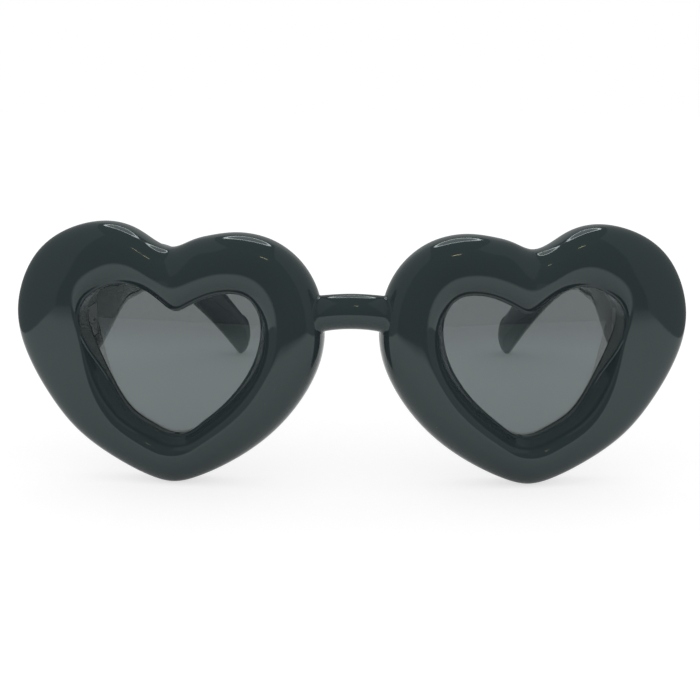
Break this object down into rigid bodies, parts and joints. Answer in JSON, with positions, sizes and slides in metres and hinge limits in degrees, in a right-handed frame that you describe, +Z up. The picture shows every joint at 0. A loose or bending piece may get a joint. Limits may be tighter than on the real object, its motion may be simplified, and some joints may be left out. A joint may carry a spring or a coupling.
{
  "type": "sunglasses",
  "caption": "Heart shaped sunglasses with puffed hollow glossy rims, a short round bridge, flat smoke lenses and broad temples that fold on barrel hinges.",
  "frame": {"origin": "on the surface that the glasses stand on, at the middle of their length and width", "axes": "+Z up, +Y from the hearts towards the ear tips, +X to the viewer's right of the front"},
  "size_m": [0.1502, 0.1648, 0.059],
  "materials": {
    "rim_plastic": "gloss",
    "cover_plastic": "gloss",
    "temple_plastic": "gloss",
    "smoke_lens": "clear smoke",
    "hinge_metal": "nickel plated",
    "screw_metal": "nickel plated"
  },
  "bodies": {
    "front": {"front_moulding": "rim_plastic", "lens_left": "smoke_lens", "lens_right": "smoke_lens", "back_cover_left": "cover_plastic", "back_cover_right": "cover_plastic", "hinge_front_leaf_left": "hinge_metal", "hinge_front_leaf_right": "hinge_metal", "front_leaf_screws_left": "screw_metal", "front_leaf_screws_right": "screw_metal", "hinge_screw_left": "screw_metal", "hinge_screw_right": "screw_metal"},
    "temple_left": {"temple_left": "temple_plastic", "hinge_temple_leaf_left": "hinge_metal", "temple_leaf_screws_left": "screw_metal"},
    "temple_right": {"temple_right": "temple_plastic", "hinge_temple_leaf_right": "hinge_metal", "temple_leaf_screws_right": "screw_metal"}
  },
  "joints": [
    {"name": "temple_right_fold", "type": "hinge", "parent": "front", "child": "temple_right", "pos_m": [0.06241, -0.05801, 0.033], "axis": [0, 0, 1], "range_deg": [-3, 70]},
    {"name": "temple_left_fold", "type": "hinge", "parent": "front", "child": "temple_left", "pos_m": [-0.06241, -0.05801, 0.033], "axis": [0, 0, -1], "range_deg": [-9.2, 80.3]}
  ]
}
